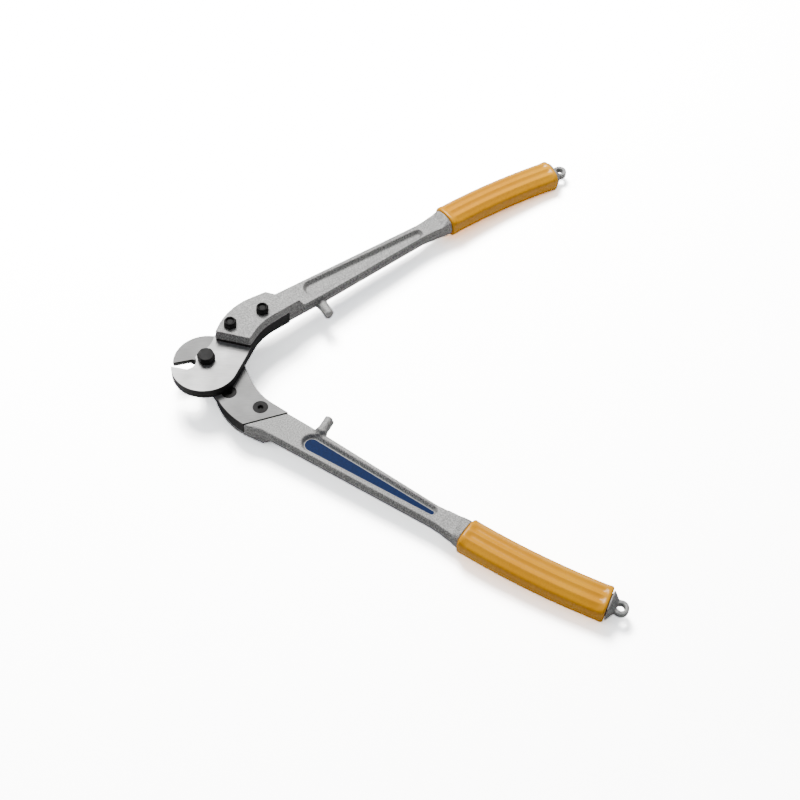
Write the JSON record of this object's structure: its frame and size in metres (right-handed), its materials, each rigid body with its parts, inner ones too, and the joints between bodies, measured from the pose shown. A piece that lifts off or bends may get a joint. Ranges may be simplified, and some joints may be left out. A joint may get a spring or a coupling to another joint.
{
  "type": "rescue cutter",
  "caption": "Two-handed lever cutter with round lap-joint steel blades on one pivot, cast handles with stop lugs, moulded grips and lanyard eyes.",
  "frame": {"origin": "on the pivot axis, in the plane where the two blades meet", "axes": "+X along the tool from the jaw to the grips, +Y towards the upper lever's grip, +Z along the pivot axis towards the bolt head"},
  "size_m": [0.3673, 0.4926, 0.0554],
  "materials": {
    "cast_aluminium": "blasted, fine grain",
    "blade_steel": "ground satin",
    "grip_plastic": "satin",
    "black_steel": "black oxide, satin",
    "label_foil": "satin foil"
  },
  "bodies": {
    "lower_lever": {"lower_handle": "cast_aluminium", "lower_grip": "grip_plastic", "lower_blade": "blade_steel", "lower_label": "label_foil", "lower_inner_screw": "black_steel", "lower_outer_screw": "black_steel", "lower_inner_nut": "black_steel", "lower_outer_nut": "black_steel", "pivot_bolt": "black_steel", "pivot_washer": "black_steel", "pivot_spring_washer": "black_steel", "pivot_nut": "black_steel"},
    "upper_lever": {"upper_handle": "cast_aluminium", "upper_grip": "grip_plastic", "upper_blade": "blade_steel", "upper_label": "label_foil", "upper_inner_screw": "black_steel", "upper_outer_screw": "black_steel", "upper_inner_nut": "black_steel", "upper_outer_nut": "black_steel"}
  },
  "joints": [
    {"name": "pivot", "type": "hinge", "parent": "lower_lever", "child": "upper_lever", "pos_m": [0, 0, 0], "axis": [0, 0, 1], "range_deg": [-56, 30]}
  ]
}
